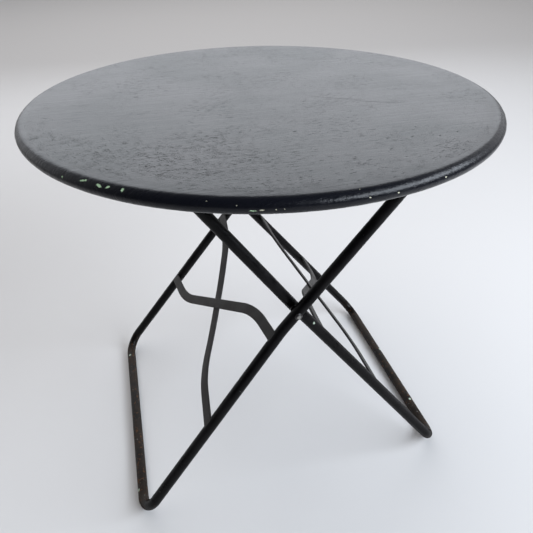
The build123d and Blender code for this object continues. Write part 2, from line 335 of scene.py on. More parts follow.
def tube_paint():
    """Satin black paint on steel: dirt and rust near the floor, chips at corners and joints."""
    paint = Paint("painted_tube_black")
    z = paint.axes[2]
    low = paint.rise(z, 0.055, 0.006)
    cloud = paint.noise(26.0, 4.0)
    ragged = paint.math("SUBTRACT", paint.noise(600.0, 3.0), 0.5)
    dirt = paint.math("MULTIPLY", low, paint.rise(cloud, 0.38, 0.62, 0.25, 1.0))
    rust = paint.math("MULTIPLY", low, paint.rise(paint.noise(140.0, 3.0), 0.60, 0.68))
    scuffs = paint.math("MULTIPLY", low, paint.rise(paint.noise(210.0, 4.0, 0.7), 0.675, 0.70))
    # Pale specks: chipped paint that also serves as painted speckled highlights on the legs
    ticks = paint.rise(paint.noise(190.0, 5.0, 0.75), 0.715, 0.735)
    chips = paint.total([paint.near(place, size, ragged) for place, size in LEG_CHIPS])
    bare = paint.total([scuffs, ticks, chips, rust])

    deep = (0.0012, 0.0010, 0.0013, 1.0)
    thin = (0.0046, 0.0038, 0.0042, 1.0)
    base = paint.mix(paint.rise(cloud, 0.35, 0.7), deep, thin)
    base = paint.mix(dirt, base, (0.026, 0.018, 0.013, 1.0))
    base = paint.mix(rust, base, (0.10, 0.045, 0.02, 1.0))
    base = paint.mix(scuffs, base, PALE)
    # Pale specks, partly painted highlight
    base = paint.mix(ticks, base, PALE)
    base = paint.mix(chips, base, (0.40, 0.47, 0.38, 1.0))
    rough = paint.heaped(paint.rise(cloud, 0.3, 0.7, 0.26, 0.40), [(dirt, 0.20), (bare, 0.25)])
    height = paint.math("MULTIPLY", paint.noise(420.0, 3.0), 0.00003)
    height = paint.heaped(height, [(paint.noise(190.0, 3.0, 0.6), 0.00040), (bare, -0.00010)])
    paint.put(paint.shader.inputs["Specular IOR Level"], paint.edge_on(0.13, 0.0))
    return paint.finish(base, rough, height)


def flat_bar_paint():
    """Matte, dusty black paint on flat bar, with painted shade darkening it along its edges."""
    paint = Paint("painted_flat_bar_matte")
    cloud = paint.noise(38.0, 4.0)
    base = paint.mix(paint.rise(cloud, 0.35, 0.7), (0.034, 0.029, 0.026, 1.0), (0.054, 0.046, 0.042, 1.0))
    # Painted shade: the bar's colour is darkened along its edges and sides
    edge_shade = paint.field("edge_shade")
    base = paint.mix(paint.math("MULTIPLY", edge_shade, 0.8), base, (0.010, 0.009, 0.009, 1.0))
    ticks = paint.rise(paint.noise(170.0, 5.0, 0.75), 0.72, 0.74)
    base = paint.mix(ticks, base, (0.20, 0.19, 0.17, 1.0))
    rough = paint.rise(cloud, 0.3, 0.7, 0.50, 0.64)
    paint.put(paint.shader.inputs["Specular IOR Level"], 0.3)
    height = paint.math("MULTIPLY", paint.noise(520.0, 3.0), 0.00004)
    height = paint.heaped(height, [(paint.noise(140.0, 2.0), 0.00010), (ticks, -0.00006)])
    return paint.finish(base, rough, height)


def rivet_paint():
    """Black paint rubbed through to steel on the crowns of the rivets."""
    paint = Paint("painted_rivet_worn")
    worn = paint.field("crown")
    uneven = paint.math("MULTIPLY", paint.noise(700.0, 3.0), 0.9)
    worn = paint.rise(paint.math("ADD", worn, uneven), 1.08, 1.32)
    cloud = paint.noise(300.0, 3.0)
    base = paint.mix(cloud, (0.010, 0.009, 0.010, 1.0), (0.026, 0.022, 0.022, 1.0))
    base = paint.mix(worn, base, (0.33, 0.32, 0.30, 1.0))
    rough = paint.rise(cloud, 0.3, 0.7, 0.30, 0.46)
    height = paint.heaped(paint.math("MULTIPLY", cloud, 0.00008), [(worn, -0.00005)])
    paint.put(paint.shader.inputs["Metallic"], paint.math("MULTIPLY", worn, 0.8))
    paint.put(paint.shader.inputs["Specular IOR Level"], 0.3)
    return paint.finish(base, rough, height)


def hardware_steel():
    """Dark, handled steel with a trace of rust in its hollows."""
    paint = Paint("dark_steel_aged")
    cloud = paint.noise(110.0, 4.0)
    base = paint.mix(paint.rise(cloud, 0.35, 0.7), (0.045, 0.043, 0.042, 1.0), (0.11, 0.105, 0.10, 1.0))
    rust = paint.rise(paint.noise(75.0, 5.0, 0.7), 0.58, 0.68)
    base = paint.mix(paint.math("MULTIPLY", rust, 0.7), base, (0.13, 0.055, 0.025, 1.0))
    paint.put(paint.shader.inputs["Metallic"], paint.rise(rust, 0.0, 1.0, 0.85, 0.15))
    rough = paint.heaped(paint.rise(cloud, 0.3, 0.7, 0.34, 0.52), [(rust, 0.25)])
    height = paint.heaped(paint.math("MULTIPLY", paint.noise(900.0, 3.0), 0.00004), [(rust, 0.00006)])
    return paint.finish(base, rough, height)


# ---------------------------------------------------------------- mesh helpers


def placed(name, data):
    """New object in the scene that shows a mesh, a light or a camera."""
    made = bpy.data.objects.new(name, data)
    bpy.context.scene.collection.objects.link(made)
    return made


def piece(name, verts, faces, material, body, nodes, sharp=40.0):
    """A smooth-shaded closed mesh that rides on a body and stands for CAD nodes."""
    mesh = bpy.data.meshes.new(name)
    mesh.from_pydata([tuple(v) for v in verts], [], faces)
    mesh.update()
    mesh.shade_smooth()
    if sharp:
        mesh.set_sharp_from_angle(angle=math.radians(sharp))
    mesh.materials.append(material)
    made = placed(name, mesh)
    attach(made, body)
    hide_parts(*nodes)
    return made


def store(made, name, values):
    """Keeps one value per vertex on the mesh, for its material."""
    layer = made.data.attributes.new(name, "FLOAT", "POINT")
    layer.data.foreach_set("value", values)


def uneven(place, size, seed=0.0):
    """Smooth noise from 0 to 1 with features about size across."""
    value = noise.noise(Vector(place) / size + Vector((seed, seed * 0.7, -seed)))
    return min(1.0, max(0.0, 0.5 + 0.5 * value))


def smooth(value, low, high):
    """Smooth step from 0 at low to 1 at high."""
    t = min(1.0, max(0.0, (value - low) / (high - low)))
    return t * t * (3.0 - 2.0 * t)


def fillet_path(points, radii, step, turn_step):
    """Points along straight runs joined by tangent arcs."""
    corners = [Vector(p) for p in points]
    path = [corners[0]]
    for corner, radius, before, after in zip(corners[1:-1], radii, corners, corners[2:]):
        into = (corner - before).normalized()
        out = (after - corner).normalized()
        turn = into.angle(out)
        reach = radius * math.tan(turn / 2)
        start = corner - into * reach
        inward = (out - into * into.dot(out)).normalized()
        centre = start + inward * radius
        add_run(path, start, step)
        count = max(3, math.ceil(turn / turn_step))
        for i in range(1, count + 1):
            a = turn * i / count
            path.append(centre - inward * radius * math.cos(a) + into * radius * math.sin(a))
    add_run(path, corners[-1], step)
    return path


def add_run(path, end, step):
    """Carries a path on to end in a straight line."""
    start = path[-1].copy()
    count = max(1, round((end - start).length / step))
    for i in range(1, count + 1):
        path.append(start.lerp(end, i / count))


def carried_axes(path):
    """Tangent and two cross directions at each point, turned no more than the path turns."""
    axes = []
    side = None
    for i in range(len(path)):
        ahead = path[min(i + 1, len(path) - 1)]
        behind = path[max(i - 1, 0)]
        tangent = (ahead - behind).normalized()
        if side is None:
            side = tangent.cross(Vector((0, 1, 0))).normalized()
        side = (side - tangent * side.dot(tangent)).normalized()
        axes.append((tangent, side, tangent.cross(side)))
    return axes


def skin(rings, count, loop):
    """Quads between rings of count points; the last ring joins the first when loop is true."""
    faces = []
    total = len(rings)
    for i in range(total if loop else total - 1):
        here = i * count
        there = (i + 1) % total * count
        for j in range(count):
            k = (j + 1) % count
            faces.append((here + j, here + k, there + k, there + j))
    return faces


def lathe(profile, segments, place, roughened=0.0):
    """Closed surface turned round local Z from (radius, height) pairs that start and end on the axis."""
    verts = [place @ Vector((0, 0, profile[0][1]))]
    for radius, height in profile[1:-1]:
        for j in range(segments):
            a = math.tau * j / segments
            local = Vector((math.cos(a), math.sin(a), 0)) * radius + Vector((0, 0, height))
            shrink = 1.0 - roughened * uneven(place @ local, 0.004)
            verts.append(place @ Vector((local.x * shrink, local.y * shrink, local.z)))
    verts.append(place @ Vector((0, 0, profile[-1][1])))
    last = len(verts) - 1
    rings = len(profile) - 2
    faces = [(0, 1 + (j + 1) % segments, 1 + j) for j in range(segments)]
    for i in range(rings - 1):
        for j in range(segments):
            k = (j + 1) % segments
            a, b = 1 + i * segments, 1 + (i + 1) * segments
            faces.append((a + j, a + k, b + k, b + j))
    end = 1 + (rings - 1) * segments
    faces += [(last, end + j, end + (j + 1) % segments) for j in range(segments)]
    return verts, faces


def frame_plane(foot, knee, outward):
    """Plane of a frame's lower legs: local x across, y up the legs, z out of the outer face."""
    up = Vector((knee[0] - foot[0], 0, knee[1] - foot[1])).normalized()
    normal = Vector((-up.z * outward, 0, up.x * outward))
    place = Matrix((up.cross(normal), up, normal)).transposed().to_4x4()
    place.translation = (foot[0], 0, foot[1])
    return place


def across(x, y, z, side=1):
    """Placement whose +Z looks along +Y, or along -Y for side -1."""
    turn = Matrix.Rotation(-side * math.pi / 2, 4, "X")
    return Matrix.Translation((x, y, z)) @ turn


OUTER_PLANE = frame_plane((OUTER_FOOT[0], TUBE_R), OUTER_KINK, 1)
INNER_PLANE = frame_plane((INNER_FOOT[0], TUBE_R), (0, PIVOT_Z), -1)


def outer_half_width(up):
    """Half the spacing of the outer frame's lower legs, at a distance up them from the floor bar."""
    length = math.hypot(OUTER_KINK[0] - OUTER_FOOT[0], OUTER_KINK[1] - TUBE_R)
    return OUTER_FOOT[1] - (OUTER_FOOT[1] - OUTER_UPPER_Y) * up / length


def inner_half_width(up):
    """The same for the inner frame."""
    return INNER_FOOT[1] - INNER_TAPER * up


# ---------------------------------------------------------------- table top

# Clusters of paint checks: azimuth and radius of the middle, spread round and across, how many
CHECK_CLUSTERS = [
    (-160, 0.366, 8, 0.016, 60),
    (-146, 0.345, 7, 0.018, 80),
    (-136, 0.320, 8, 0.024, 120),
    (-122, 0.315, 6, 0.022, 80),
    (-124, 0.230, 9, 0.030, 60),
    (-105, 0.280, 4, 0.022, 45),
    (-102, 0.372, 5, 0.010, 40),
    (-96, 0.345, 3, 0.012, 22),
    (-80, 0.330, 4, 0.012, 26),
    (-58, 0.362, 5, 0.014, 40),
    (-46, 0.378, 4, 0.008, 24),
]
SCATTERED_CHECKS = 520
# Small pits: azimuth, radius
PITS = [(-65, 0.280), (-59, 0.300), (-54, 0.328), (-49, 0.342), (-70, 0.310), (-89, 0.190)]
# Two long cracks that overlap: start and end
LONG_CRACKS = [((0.075, -0.030), (0.160, -0.078)), ((0.140, -0.076), (0.215, -0.112))]

# Paint chips round the edge: azimuth, angle down from the top face, length, height, lean
MINT_CHIPS = [
    (-143.0, 72, 0.0032, 0.0030, 0),
    (-137.6, 48, 0.0080, 0.0026, -20),
    (-136.9, 40, 0.0030, 0.0036, 50),
    (-133.6, 50, 0.0090, 0.0040, 15),
    (-131.6, 46, 0.0060, 0.0030, -35),
    (-128.5, 44, 0.0036, 0.0056, 0),
    (-105.4, 104, 0.0090, 0.0022, 0),
]
CREAM_SPECKS = [
    (-113.0, 51, 0.0016, 0.0016, 0),
    (-108.0, 72, 0.0018, 0.0014, 0),
    (-103.9, 100, 0.0060, 0.0020, 0),
    (-101.6, 99, 0.0024, 0.0016, 0),
    (-100.2, 98, 0.0018, 0.0014, 0),
    (-87.0, 18, 0.0016, 0.0014, 0),
    (-85.5, 84, 0.0026, 0.0016, 20),
    (-80.0, 90, 0.0030, 0.0022, -20),
    (-69.0, 81, 0.0030, 0.0026, 30),
    (55.0, 95, 0.0050, 0.0022, 0),
    (58.5, 88, 0.0020, 0.0018, 0),
    (140.0, 70, 0.0040, 0.0030, 20),
    (171.0, 100, 0.0030, 0.0020, 0),
]
# Places on the legs where the paint is chipped: centre and radius
LEG_CHIPS = [
    ((0.006, -0.236, PIVOT_Z - 0.010), 0.0022),
    ((0.036, -0.217, 0.378), 0.0018),
    ((-0.3195, -0.238, 0.012), 0.0030),
    ((-0.318, -0.205, 0.016), 0.0026),
    ((-0.296, -0.268, 0.020), 0.0024),
    ((-0.313, 0.200, 0.0175), 0.0028),
    ((0.318, 0.05, 0.016), 0.0030),
    ((0.314, -0.13, 0.0185), 0.0024),
    ((-0.27, 0.257, 0.075), 0.0024),
    ((-0.262, 0.259, 0.088), 0.0018),
]


# How far, and over what width, the face rolls down to the half-round edge
ROLL = 0.0008
ROLL_WIDTH = 0.024
# Cracks: width of the foot beside one, spacing of stations, gap to the next crack, to the outline,
# reach of the scattered ones
CRACK_FOOT = 0.0011
CRACK_STEP = 0.0016
CRACK_GAP = 0.0016
CRACK_INSET = 0.0025
SCATTER_R = 0.385
# Points between cracks: spacing, row spacing as a share of it, shake, gap to a crack, to the outline
FILLER_STEP = 0.0075
FILLER_ROW = 0.866
FILLER_SHAKE = 0.001
FILLER_GAP = 0.0014
FILLER_INSET = 0.003
# Edge: sections over its half circle, depth of a chip, degrees that count as near a chip, degrees
# between sections there and elsewhere
EDGE_STEPS = 32
CHIP_DEPTH = 0.00022
NEAR_CHIP = 1.1
FINE_TURN = 0.16
COARSE_TURN = 0.55


def face_roll(radius):
    """Drop of the face near its edge, steepening outwards."""
    share = min(1.0, max(0.0, 1 + (radius - FACE_R) / ROLL_WIDTH))
    return ROLL * share ** 2


def edge_roll(down):
    """The same round the edge, fading out at its widest."""
    turned = math.radians(min(down, 90.0))
    return ROLL * (1 + 2 * EDGE_R / ROLL_WIDTH * turned) * math.cos(turned)


def face_drop(place):
    """How far the paint lies inside the top's nominal surface."""
    swell = 0.00022 * uneven(place, 0.110, 3.0)
    brush = 0.00010 * uneven((place[0] * 0.3, place[1], place[2]), 0.018, 7.0)
    return 0.00016 + swell + brush + face_roll(math.hypot(place[0], place[1]))


def edge_drop(place, down):
    """The same round the half-round edge, which is lumpier."""
    share = smooth(down, 0.0, 50.0)
    lumps = 0.00034 * uneven(place, 0.021, 11.0) + 0.00012 * uneven(place, 0.009, 5.0)
    return face_drop(place) - ROLL + edge_roll(down) + share * lumps


def check_ladder(middle, heading, length, width, depth, bend, stations):
    """Points of one open crack: two feet, two lips and a bottom line at each station.

    Returns (x, y, height, darkness) rows."""
    rows = []
    along = Vector((math.cos(heading), math.sin(heading)))
    side = Vector((-along.y, along.x))
    for i in range(stations):
        t = -1 + 2 * i / (stations - 1)
        taper = math.sqrt(max(0.0, 1 - t * t))
        centre = Vector(middle) + along * (t * length / 2) + side * (bend * (1 - t * t))
        if taper < 0.2:
            rows.append((centre.x, centre.y, 0.0, 0.0))
            continue
        half = width / 2 * taper
        foot = half + CRACK_FOOT
        for offset, height, shade in (
            (-foot, 0.0, 0.0),
            (-half, 0.00006 * taper, 0.0),
            (0.0, -depth * taper, 1.0),
            (half, 0.00004 * taper, 0.0),
            (foot, 0.0, 0.0),
        ):
            p = centre + side * offset
            rows.append((p.x, p.y, height, shade))
    return rows


class Ground:
    """Keeps the cracks' points clear of each other."""

    def __init__(self, cell):
        self.cell = cell
        self.taken = {}

    def key(self, x, y):
        return (math.floor(x / self.cell), math.floor(y / self.cell))

    def free(self, rows, gap):
        """True when nothing taken lies within gap of a row."""
        for x, y, *_ in rows:
            kx, ky = self.key(x, y)
            for i in (-1, 0, 1):
                for j in (-1, 0, 1):
                    for px, py in self.taken.get((kx + i, ky + j), ()):
                        if math.hypot(px - x, py - y) < gap:
                            return False
        return True

    def take(self, rows):
        for x, y, *_ in rows:
            self.taken.setdefault(self.key(x, y), []).append((x, y))


def polar(azimuth, radius):
    """Point at an azimuth in degrees and a radius from the middle of the top."""
    a = math.radians(azimuth)
    return Vector((radius * math.cos(a), radius * math.sin(a)))


def all_checks(rng):
    """Every crack on the face, as rows of points."""
    ground = Ground(0.003)
    kept = []

    def add(rows):
        inside = all(math.hypot(x, y) < FACE_R - CRACK_INSET for x, y, *_ in rows)
        if inside and ground.free(rows, CRACK_GAP):
            ground.take(rows)
            kept.extend(rows)

    for start, end in LONG_CRACKS:
        run = Vector(end) - Vector(start)
        middle = (Vector(start) + Vector(end)) / 2
        heading = math.atan2(run.y, run.x)
        add(check_ladder(middle, heading, run.length, 0.0008, 0.00028, -0.003, 40))
    for azimuth, radius in PITS:
        middle = polar(azimuth, radius)
        heading = math.radians(azimuth + 90 + rng.uniform(-10, 10))
        add(check_ladder(middle, heading, rng.uniform(0.005, 0.008), 0.0026, 0.0006, 0.0, 7))
    for azimuth, radius, turn, spread, count in CHECK_CLUSTERS:
        for _ in range(count):
            here = azimuth + rng.gauss(0, turn)
            add(random_check(rng, here, radius + rng.gauss(0, spread), 0.95))
    for _ in range(SCATTERED_CHECKS):
        here = rng.uniform(-180, 180)
        add(random_check(rng, here, SCATTER_R * math.sqrt(rng.random()), 0.75))
    return kept, ground


def random_check(rng, azimuth, radius, size):
    """A short crack that runs roughly round the top."""
    length = min(0.018, 0.0055 * math.exp(rng.gauss(0, 0.45))) * size
    width = rng.uniform(0.0007, 0.0012) * size
    depth = rng.uniform(0.00020, 0.00036) * size
    heading = math.radians(azimuth + 90 + rng.gauss(0, 7))
    bend = rng.gauss(0, 0.07) * length
    stations = max(5, round(length / CRACK_STEP))
    middle = polar(azimuth, min(radius, FACE_R))
    return check_ladder(middle, heading, length, width, depth, bend, stations)


def craze_density(x, y):
    """How crazed the paint is at a place, from 0 to 1."""
    radius = math.hypot(x, y)
    azimuth = math.degrees(math.atan2(y, x))
    total = 0.0
    for middle, middle_r, turn, spread, count in CHECK_CLUSTERS:
        a = (azimuth - middle + 180) % 360 - 180
        away = (a / (1.5 * turn)) ** 2 + ((radius - middle_r) / (1.6 * spread)) ** 2
        total += count / 60 * math.exp(-away)
    return min(1.0, total)


def edge_azimuths():
    """Azimuths of the edge's sections, close together where there are chips."""
    chips = [chip[0] for chip in MINT_CHIPS + CREAM_SPECKS]
    result = []
    azimuth = -180.0
    while azimuth < 180.0 - 0.1:
        result.append(azimuth)
        nearest = min(abs(azimuth - chip) for chip in chips)
        azimuth += FINE_TURN if nearest < NEAR_CHIP else COARSE_TURN
    return result


def chip_value(azimuth, down, chips):
    """1 in the middle of a chip, 0.5 on its outline, 0 well outside every chip."""
    best = 0.0
    for at, at_down, length, height, lean in chips:
        u = math.radians(azimuth - at) * TOP_R
        v = math.radians(down - at_down) * EDGE_R
        if abs(u) > 0.02 or abs(v) > 0.02:
            continue
        turn = math.radians(lean)
        along = u * math.cos(turn) + v * math.sin(turn)
        over = v * math.cos(turn) - u * math.sin(turn)
        away = math.hypot(along / (length / 2), over / (height / 2))
        best = max(best, 1 - away / 2)
    return max(0.0, best)


class Board:
    """The top's mesh under construction, with a value of every field at each vertex."""

    def __init__(self):
        self.verts = []
        self.faces = []
        self.values = {"check": [], "craze": [], "chip": [], "speck": []}

    def add(self, place, **values):
        """One vertex; a field that isn't given is 0 there."""
        self.verts.append(place)
        for name, kept in self.values.items():
            kept.append(values.get(name, 0.0))

    def join(self, ring, start):
        """Quads from a ring to the vertices added since start, which make the next ring."""
        new = list(range(start, len(self.verts)))
        count = len(new)
        self.faces += [(ring[k], new[k], new[(k + 1) % count], ring[(k + 1) % count]) for k in range(count)]
        return new


def face_filler(rng, ground):
    """Points of the face between its cracks."""
    reach = int(TOP_R / FILLER_STEP) + 1
    rows = []
    for i in range(-reach, reach + 1):
        for j in range(-reach, reach + 1):
            x = (i + 0.5 * (j % 2)) * FILLER_STEP + rng.uniform(-FILLER_SHAKE, FILLER_SHAKE)
            y = j * FILLER_STEP * FILLER_ROW + rng.uniform(-FILLER_SHAKE, FILLER_SHAKE)
            row = (x, y, 0.0, 0.0)
            if math.hypot(x, y) < FACE_R - FILLER_INSET and ground.free([row], FILLER_GAP):
                rows.append(row)
    return rows


def add_face(board, azimuths):
    """The face, triangulated through its cracks. Returns the ring of its outline."""
    rng = random.Random(41)
    cracks, ground = all_checks(rng)
    outline = [(*polar(a, FACE_R), 0.0, 0.0) for a in azimuths]
    points = outline + cracks + face_filler(rng, ground)
    flat = [Vector((x, y)) for x, y, *_ in points]
    made = delaunay_2d_cdt(flat, [], [], 0, 1e-7, True)
    places, triangles, origins = made[0], made[2], made[3]
    index_of = {}
    for index, (p, origin) in enumerate(zip(places, origins)):
        _, _, height, darkness = points[origin[0]]
        for o in origin:
            index_of[o] = index
        z = TOP_HIGH.z - face_drop((p.x, p.y, TOP_HIGH.z)) + height
        board.add((p.x, p.y, z), check=darkness, craze=craze_density(p.x, p.y))
    board.faces += [tuple(face) for face in triangles]
    return [index_of[i] for i in range(len(azimuths))]


def edge_point(azimuth, down, sunk):
    """Point on the half-round edge, inside its nominal surface."""
    a = math.radians(azimuth)
    d = math.radians(down)
    outward = Vector((math.cos(a), math.sin(a), 0))
    normal = outward * math.sin(d) + Vector((0, 0, math.cos(d)))
    centre = outward * FACE_R + Vector((0, 0, EDGE_Z))
    nominal = centre + normal * EDGE_R
    return nominal - normal * (edge_drop(nominal, down) + sunk)


def add_edge(board, azimuths, ring):
    """The half-round edge with its chips, from the face's outline to the underside's."""
    for step in range(1, EDGE_STEPS + 1):
        down = 180.0 * step / EDGE_STEPS
        start = len(board.verts)
        for azimuth in azimuths:
            mint = chip_value(azimuth, down, MINT_CHIPS)
            cream = chip_value(azimuth, down, CREAM_SPECKS)
            sunk = CHIP_DEPTH * smooth(max(mint, cream), 0.40, 0.56)
            board.add(edge_point(azimuth, down, sunk), chip=mint, speck=cream)
        ring = board.join(ring, start)
    return ring


def add_underside(board, azimuths, ring):
    """The underside, in rings that close on its centre."""
    for share in (0.97, 0.9, 0.78, 0.62, 0.45, 0.28, 0.12):
        start = len(board.verts)
        for azimuth in azimuths:
            p = polar(azimuth, FACE_R * share)
            board.add((p.x, p.y, TOP_LOW.z + 0.0004 * uneven((p.x * 0.3, p.y, 0), 0.03, 2.0)))
        ring = board.join(ring, start)
    centre = len(board.verts)
    board.add((0, 0, TOP_LOW.z + 0.0002))
    count = len(ring)
    board.faces += [(ring[k], centre, ring[(k + 1) % count]) for k in range(count)]


def top_board(material):
    """The round top: a crazed face, a lumpy half-round edge with chips, and the underside."""
    azimuths = edge_azimuths()
    board = Board()
    ring = add_face(board, azimuths)
    ring = add_edge(board, azimuths, ring)
    add_underside(board, azimuths, ring)
    made = piece("top_board", board.verts, board.faces, material, "top", ["table_top"], 0)
    for name, values in board.values.items():
        store(made, name, values)


# ---------------------------------------------------------------- tubes and braces


def hollow_tube(name, half, material, body, node):
    """Bent tube along half a frame's corners and their mirror image."""
    other = [(x, -y, z) for x, y, z in reversed(half)]
    path = fillet_path(half + other, [KINK_R, CORNER_R, CORNER_R, KINK_R], PATH_STEP, TUBE_TURN)
    axes = carried_axes(path)
    outer = []
    inner = []
    for point, (_, side, over) in zip(path, axes):
        for rings, radius, bumps in ((outer, TUBE_R, 0.00012), (inner, TUBE_R - TUBE_WALL, 0.0)):
            ring = []
            for j in range(TUBE_SEGMENTS):
                a = math.tau * j / TUBE_SEGMENTS
                out = side * math.cos(a) + over * math.sin(a)
                drop = bumps * uneven(point + out * radius, 0.008, 2.0)
                ring.append(point + out * (radius - drop))
            rings.append(ring)
    rings = outer + inner[::-1]
    verts = [v for ring in rings for v in ring]
    faces = skin(rings, TUBE_SEGMENTS, True)
    piece(name, verts, faces, material, body, [node], 50)


def outer_tube(material):
    """The hinged frame, which kinks below the pivot."""
    slope = -OUTER_KINK[0] / (PIVOT_Z - OUTER_KINK[1])
    length = math.hypot(1, slope)
    end_x = HINGE_X + OUTER_END * slope / length
    end_z = HINGE_Z + OUTER_END / length
    half = [
        (end_x, OUTER_UPPER_Y, end_z),
        (OUTER_KINK[0], OUTER_UPPER_Y, OUTER_KINK[1]),
        (OUTER_FOOT[0], OUTER_FOOT[1], TUBE_R),
    ]
    hollow_tube("outer_tube", half, material, "outer_frame", "outer_frame")


def inner_tube(material):
    """The caught frame, whose legs run straight and close in towards the crossbar."""
    reach = math.hypot(BAR_X, BAR_Z - PIVOT_Z)
    end = reach + INNER_END
    taper = (INNER_PIVOT_Y - INNER_BAR_Y) / reach
    half = [
        (BAR_X * end / reach, INNER_PIVOT_Y - taper * end, PIVOT_Z + (BAR_Z - PIVOT_Z) * end / reach),
        (0, INNER_PIVOT_Y, PIVOT_Z),
        (INNER_FOOT[0], INNER_FOOT[1], TUBE_R),
    ]
    hollow_tube("inner_tube", half, material, "inner_frame", "inner_frame")


def brace_section():
    """Cross-section of a flat bar with rounded corners, as (across, through) pairs."""
    reach_x = BRACE_W / 2 - BRACE_ROUND
    reach_z = BRACE_T / 2 - BRACE_ROUND
    result = []
    for start, sx, sz in ((0, 1, 1), (90, -1, 1), (180, -1, -1), (270, 1, -1)):
        for i in range(5):
            a = math.radians(start + 90 * i / 4)
            x = sx * reach_x + BRACE_ROUND * math.cos(a)
            z = sz * reach_z + BRACE_ROUND * math.sin(a)
            result.append((x, z))
    return result


def brace_line(braces, half_width):
    """Middle line of a brace, in its frame's plane, from its low end to its high end."""
    middle, corner, bend_r, slope, end_slope = braces
    rise = corner * slope
    low = half_width(middle - rise) + BRACE_PAST_AXIS
    high = half_width(middle + rise) + BRACE_PAST_AXIS
    points = [
        (-low, middle - rise - end_slope * (low - corner), 0),
        (-corner, middle - rise, 0),
        (corner, middle + rise, 0),
        (high, middle + rise + end_slope * (high - corner), 0),
    ]
    return fillet_path(points, [bend_r, bend_r], PATH_STEP, BRACE_TURN)


def end_slide(point, tangent, half_width):
    """How far along the tangent a brace's end point lies from the cut along the tube."""
    reach = half_width(point.y) + BRACE_PAST_AXIS
    return (reach - abs(point.x)) / abs(tangent.x)


def brace_point(local, through, half_width, under):
    """Place in the frame's plane of a brace's point, which is through its thickness from the middle."""
    shift = BRACE_N + BRACE_T / 2 + through
    if under:
        shift -= (BRACE_T + FILM) * (1 - smooth(abs(local.x), DIP_FLAT, DIP_RAMP))
    if through > 0:
        clear = smooth(half_width(local.y) - abs(local.x), 0.010, 0.016)
        shift -= clear * 0.00010 * uneven((local.x, local.y, through), 0.012, 4.0)
    return Vector((-local.x if under else local.x, local.y, shift))


def brace_ring(line, i, half_width, under):
    """Points of a brace round one point of its middle line; the end rings lie on the cut."""
    last = len(line) - 1
    ahead = line[min(i + 1, last)]
    behind = line[max(i - 1, 0)]
    tangent = (ahead - behind).normalized()
    side = Vector((-tangent.y, tangent.x, 0))
    outward = -tangent if i == 0 else tangent
    ring = []
    for x, through in brace_section():
        local = line[i] + side * x
        if i in (0, last):
            local += outward * end_slide(local, tangent, half_width)
        ring.append(brace_point(local, through, half_width, under))
    return ring


def brace(name, frame_parts, under, material, body, node):
    """S-shaped flat bar with its ends cut along the tubes; the under one bows in at the crossing."""
    plane, braces, half_width = frame_parts
    line = brace_line(braces, half_width)
    rings = [brace_ring(line, i, half_width, under) for i in range(len(line))]
    # Painted shade along the bar's edges, stored for its material
    start, full = (BRACE_W / 2 - inset for inset in BRACE_EDGE_SHADE)
    marks = [smooth(abs(x), start, full) for x, _ in brace_section()]
    if under:
        rings = [ring[::-1] for ring in rings]
        marks = marks[::-1]
    count = len(marks)
    verts = [plane @ v for ring in rings for v in ring]
    faces = skin(rings, count, False)
    faces.append(tuple(range(count))[::-1])
    end = (len(rings) - 1) * count
    faces.append(tuple(range(end, end + count)))
    made = piece(name, verts, faces, material, body, [node], 40)
    store(made, "edge_shade", marks * len(rings))


# ---------------------------------------------------------------- rivets, pins and the crossbar


def rivet_profile(size, low, high):
    """(radius, height) pairs of a rivet with a domed head at each end."""
    shank_r, head_r, head_h = size
    sphere_r = (head_r**2 + head_h**2) / (2 * head_h)
    full = math.asin(head_r / sphere_r)
    bevel = 0.0003
    dome = []
    for i in range(DOME_STEPS):
        a = full * i / DOME_STEPS
        dome.append((sphere_r * math.sin(a), sphere_r * math.cos(a) - sphere_r + head_h))
    dome.append((head_r - 0.00005, bevel))
    dome.append((head_r - bevel, 0.0))
    bottom = [(r, low - h) for r, h in dome]
    top = [(r, high + h) for r, h in reversed(dome)]
    shank = [(shank_r, low), (shank_r, high)]
    return bottom + shank + top


def turned_pin(name, place, size, ends, material, body, node):
    """Rivet or pin as one piece whose crowns are marked for wear."""
    low, high = ends
    profile = rivet_profile(size, low, high)
    verts, faces = lathe(profile, PIN_SEGMENTS, place, roughened=0.035)
    made = piece(name, verts, faces, material, body, [node], 35)
    head_r = size[1]
    rows = [profile[0]] + [p for p in profile[1:-1] for _ in range(PIN_SEGMENTS)] + [profile[-1]]
    rim = 0.0002
    crowns = []
    for radius, height in rows:
        outside = height > high + rim or height < low - rim
        crowns.append(1 - (radius / head_r) ** 2 if outside else 0.0)
    store(made, "crown", crowns)


def pivot_rivet(name, side, material):
    """Rivet through both frames at one end of the pivot axis."""
    low = INNER_PIVOT_Y - TUBE_R - PIVOT_HEAD_GAP
    high = OUTER_UPPER_Y + TUBE_R + FILM
    place = across(0, 0, PIVOT_Z, side)
    node = f"{name}_pivot_rivet"
    made_name = f"pivot_rivet_{name}"
    turned_pin(made_name, place, PIVOT_RIVET, (low, high), material, "outer_frame", node)


def hinge_pin(name, material):
    """Pin through one hinge bracket and the outer frame's end in it."""
    lowest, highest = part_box(f"{name}_hinge_pin")
    middle = (lowest.y + highest.y) / 2
    reach = (highest.y - lowest.y) / 2 - HINGE_PIN[2]
    place = across(HINGE_X, middle, HINGE_Z)
    node = f"{name}_hinge_pin"
    turned_pin(f"hinge_pin_{name}", place, HINGE_PIN, (-reach, reach), material, "top", node)


def crossbar(material):
    """Bar between the inner frame's upper ends, riveted over outside them."""
    reach = BAR[1].y - CROSSBAR[2]
    place = across(BAR_X, 0, BAR_Z)
    ends = (-reach, reach)
    turned_pin("crossbar", place, CROSSBAR, ends, material, "inner_frame", "inner_crossbar")


# ---------------------------------------------------------------- plates, screws and washers


